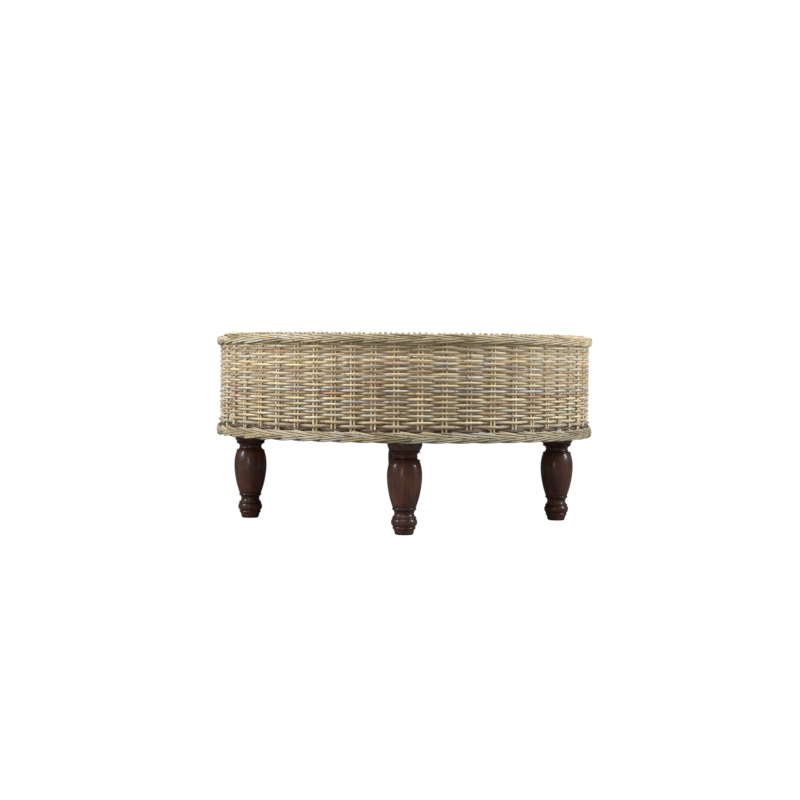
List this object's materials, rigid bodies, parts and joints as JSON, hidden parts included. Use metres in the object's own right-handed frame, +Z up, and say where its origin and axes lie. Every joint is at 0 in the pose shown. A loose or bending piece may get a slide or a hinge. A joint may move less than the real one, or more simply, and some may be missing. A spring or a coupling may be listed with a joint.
{
  "type": "wicker pet bed",
  "caption": "Round woven wicker pet bed with an open top, plaited borders, turned wooden legs and a loose round box cushion.",
  "frame": {"origin": "on the floor, under the centre of the round basket", "axes": "+Z up along the basket's axis, -Y towards the front leg, +X towards the right leg"},
  "size_m": [0.7599, 0.76, 0.376],
  "materials": {
    "turned_wood": "dark mahogany stain under gloss lacquer",
    "frame_wood": "planed softwood",
    "plywood": "bare birch plywood",
    "rattan_pole": "peeled rattan pole",
    "rattan_rod": "natural rattan, matt, mixed tones",
    "rattan_plait": "natural rattan, weathered grey beige",
    "cushion_cloth": "plain woven cotton canvas",
    "piping_cloth": "bias cut canvas over cord",
    "cushion_foam": "open cell foam",
    "zip_cloth": "polyester zip tape",
    "zip_metal": "antique brass",
    "zinc_steel": "zinc plated"
  },
  "bodies": {
    "basket": {"leg_front": "turned_wood", "leg_right": "turned_wood", "leg_back": "turned_wood", "leg_left": "turned_wood", "rail_side_to_side": "frame_wood", "rail_front_to_back": "frame_wood", "floor_panel": "plywood", "base_hoop": "rattan_pole", "rim_hoop": "rattan_pole", "hanger_bolts": "zinc_steel", "tee_nuts": "zinc_steel", "panel_screws": "zinc_steel", "hoop_screws": "zinc_steel", "stakes": "rattan_rod", "foot_weave": "rattan_rod", "side_weave": "rattan_rod", "lower_plait": "rattan_plait", "upper_plait": "rattan_plait", "rim_binding": "rattan_plait"},
    "cushion": {"cushion_top_panel": "cushion_cloth", "cushion_bottom_panel": "cushion_cloth", "cushion_side_band": "cushion_cloth", "cushion_filling": "cushion_foam", "cushion_piping_lower": "piping_cloth", "cushion_piping_upper": "piping_cloth", "zip_tape": "zip_cloth", "zip_slider": "zip_metal"}
  },
  "joints": [
    {"name": "cushion_lift", "type": "slide", "parent": "basket", "child": "cushion", "axis": [0, 0, 1], "range_m": [0, 0.25]}
  ]
}
